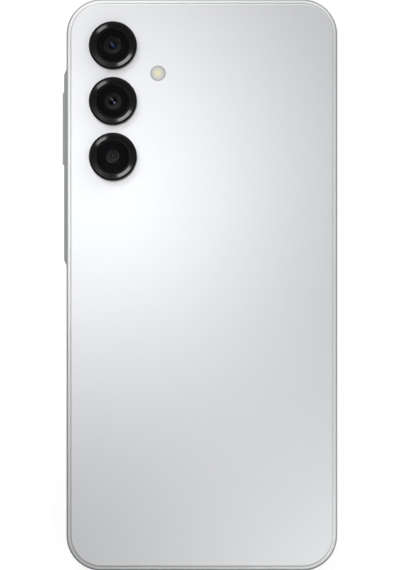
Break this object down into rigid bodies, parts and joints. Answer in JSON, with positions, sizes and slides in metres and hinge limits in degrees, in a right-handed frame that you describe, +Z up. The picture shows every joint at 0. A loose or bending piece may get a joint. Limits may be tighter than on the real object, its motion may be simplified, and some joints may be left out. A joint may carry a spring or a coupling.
{
  "type": "smartphone",
  "caption": "Slab touchscreen phone with a flat glass front, plastic frame and back, raised camera rings in a row, side keys and an ejectable card tray.",
  "frame": {"origin": "centre of the screen glass's outer face, which the phone lies on", "axes": "+X across the width, towards the card tray; +Y along the length, towards the camera end; +Z up through the thickness, from the screen to the back cover"},
  "size_m": [0.079, 0.1644, 0.0096],
  "materials": {
    "housing": "satin",
    "cover": "satin",
    "keys": "satin",
    "sensor": "satin",
    "rings": "gloss",
    "windows": "polished",
    "lens_glass": "polished",
    "barrels": "matte",
    "cans": "satin",
    "flash_lens": "frosted",
    "led": "gloss",
    "screen_glass": "polished",
    "panel": "gloss",
    "tape": "matte",
    "cell": "satin",
    "flex": "satin",
    "boards": "satin",
    "shields": "satin",
    "connectors": "matte",
    "cable": "matte",
    "steel": "satin",
    "port_tongue": "matte",
    "sound": "matte",
    "mesh": "matte",
    "rotor": "matte",
    "tray": "satin",
    "seal": "matte",
    "brackets": "matte",
    "screws": "satin"
  },
  "bodies": {
    "phone_body": {"antenna_cable": "cable", "back_cover": "cover", "back_cover_tape": "tape", "battery_adhesive": "tape", "battery_cell": "cell", "battery_flex": "flex", "board_connectors": "connectors", "board_link_flex": "flex", "bracket_screws": "screws", "camera_ring_macro": "rings", "camera_ring_main": "rings", "camera_ring_ultrawide": "rings", "camera_window_macro": "windows", "camera_window_main": "windows", "camera_window_ultrawide": "windows", "display_flex": "flex", "display_glass": "screen_glass", "display_panel": "panel", "display_tape": "tape", "earpiece_mesh": "mesh", "earpiece_speaker": "sound", "flash_led": "led", "flash_lens": "flash_lens", "front_camera_barrel": "barrels", "front_camera_can": "cans", "front_housing": "housing", "key_bracket": "steel", "key_flex": "flex", "key_switches": "steel", "loudspeaker_box": "sound", "loudspeaker_mesh": "mesh", "lower_bracket": "brackets", "macro_camera_barrel": "barrels", "macro_camera_can": "cans", "macro_camera_glass": "lens_glass", "main_board": "boards", "main_board_shields": "shields", "main_camera_can": "cans", "microphones": "shields", "sim_socket": "shields", "sub_board": "boards", "ultrawide_camera_barrel": "barrels", "ultrawide_camera_can": "cans", "ultrawide_camera_glass": "lens_glass", "upper_bracket": "brackets", "usb_port_shell": "steel", "usb_port_tongue": "port_tongue", "vibration_motor_case": "steel"},
    "power_key": {"power_key": "keys", "fingerprint_sensor": "sensor"},
    "volume_key": {"volume_key": "keys"},
    "sim_tray": {"sim_tray": "tray", "sim_tray_seal": "seal"},
    "eject_rod": {"eject_rod": "steel"},
    "eject_lever": {"eject_lever": "steel"},
    "main_lens": {"main_camera_barrel": "barrels", "main_camera_glass": "lens_glass"},
    "vibration_rotor": {"vibration_rotor": "rotor"},
    "loudspeaker_diaphragm": {"loudspeaker_diaphragm": "sound"}
  },
  "joints": [
    {"name": "power_key_press", "type": "slide", "parent": "phone_body", "child": "power_key", "axis": [1, 0, 0], "range_m": [0, 0.00025], "stiffness_N_per_m": 2000},
    {"name": "volume_key_rock", "type": "hinge", "parent": "phone_body", "child": "volume_key", "pos_m": [-0.03575, 0.04498, 0.0041], "axis": [0, 0, 1], "range_deg": [-1.2, 1.2], "stiffness_Nm_per_rad": 0.2},
    {"name": "sim_tray_slide", "type": "slide", "parent": "phone_body", "child": "sim_tray", "axis": [1, 0, 0], "range_m": [0, 0.03]},
    {"name": "eject_rod_push", "type": "slide", "parent": "phone_body", "child": "eject_rod", "axis": [-1, 0, 0], "range_m": [0, 0.001]},
    {"name": "eject_lever_turn", "type": "hinge", "parent": "phone_body", "child": "eject_lever", "pos_m": [0.0089, 0.0465, 0.0045], "axis": [0, 0, 1], "range_deg": [-16.01, 0]},
    {"name": "main_camera_focus", "type": "slide", "parent": "phone_body", "child": "main_lens", "axis": [0, 0, 1], "range_m": [0, 0.0003], "stiffness_N_per_m": 200},
    {"name": "vibration_rotor_spin", "type": "hinge", "parent": "phone_body", "child": "vibration_rotor", "pos_m": [0.02255, -0.0722, 0.00395], "axis": [0, 0, 1], "continuous": true},
    {"name": "loudspeaker_diaphragm_move", "type": "slide", "parent": "phone_body", "child": "loudspeaker_diaphragm", "axis": [0, 0, 1], "range_m": [-0.0002, 0.0002], "stiffness_N_per_m": 1000}
  ],
  "couplings": [
    {"joint": "eject_lever_turn", "follows": "sim_tray_slide", "rad_per_m": -9.31},
    {"joint": "eject_rod_push", "follows": "sim_tray_slide", "ratio": 0.03333}
  ]
}
